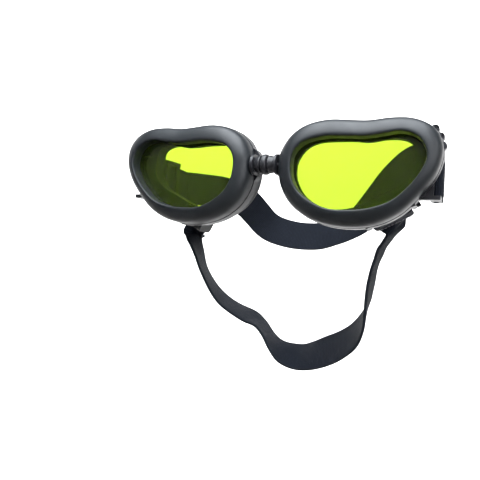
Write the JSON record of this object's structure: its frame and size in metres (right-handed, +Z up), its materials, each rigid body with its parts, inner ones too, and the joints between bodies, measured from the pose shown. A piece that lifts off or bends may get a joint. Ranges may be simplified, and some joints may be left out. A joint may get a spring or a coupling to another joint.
{
  "type": "dog goggles",
  "caption": "Dog goggles with two bean-shaped cushioned eye cups, tinted filter lenses, a ribbed nose bridge, and adjustable head and chin straps of elastic webbing.",
  "frame": {"origin": "middle of the nose bridge, on the axis of its ribs and halfway between the two cups", "axes": "+X toward the cup at the right of the picture, +Y from the lenses back toward the dog's face, +Z up"},
  "size_m": [0.1326, 0.103, 0.1027],
  "materials": {
    "bezel_rubber": "satin soft-touch",
    "frame_plastic": "matt moulded",
    "lens_filter": "clear yellow-green filter, polished",
    "seal_rubber": "matt",
    "cushion_foam": "fine-cell foam with a matt skin",
    "pin_steel": "drawn wire",
    "bridge_rubber": "satin",
    "core_rubber": "matt cord",
    "webbing": "fine ribbed elastic weave",
    "slider_plastic": "satin moulded",
    "thread": "twisted thread"
  },
  "bodies": {
    "cup_right": {"front_bezel_right": "bezel_rubber", "lens_right": "lens_filter", "lens_seal_right": "seal_rubber", "rear_frame_right": "frame_plastic", "face_cushion_right": "cushion_foam", "strap_pins_right": "pin_steel", "nose_bridge": "bridge_rubber", "bridge_core": "core_rubber", "head_strap": "webbing", "chin_strap": "webbing", "head_strap_stitches": "thread", "chin_strap_stitches": "thread"},
    "cup_left": {"front_bezel_left": "bezel_rubber", "lens_left": "lens_filter", "lens_seal_left": "seal_rubber", "rear_frame_left": "frame_plastic", "face_cushion_left": "cushion_foam", "strap_pins_left": "pin_steel"},
    "head_slider": {"head_strap_slider": "slider_plastic"},
    "chin_slider": {"chin_strap_slider": "slider_plastic"}
  },
  "joints": [
    {"name": "bridge_fold", "type": "hinge", "parent": "cup_right", "child": "cup_left", "pos_m": [0, 0, 0], "axis": [0, 0, -1], "range_deg": [-25, 35], "deforming": ["nose_bridge", "bridge_core", "head_strap", "chin_strap"]},
    {"name": "head_slider_shift", "type": "slide", "parent": "cup_left", "child": "head_slider", "axis": [0.1219, 0.9925, 0], "range_m": [-0.002, 0.008], "deforming": ["head_strap"]},
    {"name": "chin_slider_shift", "type": "slide", "parent": "cup_left", "child": "chin_slider", "axis": [0.0698, 0.9976, 0], "range_m": [-0.001, 0.002], "deforming": ["chin_strap"]}
  ]
}
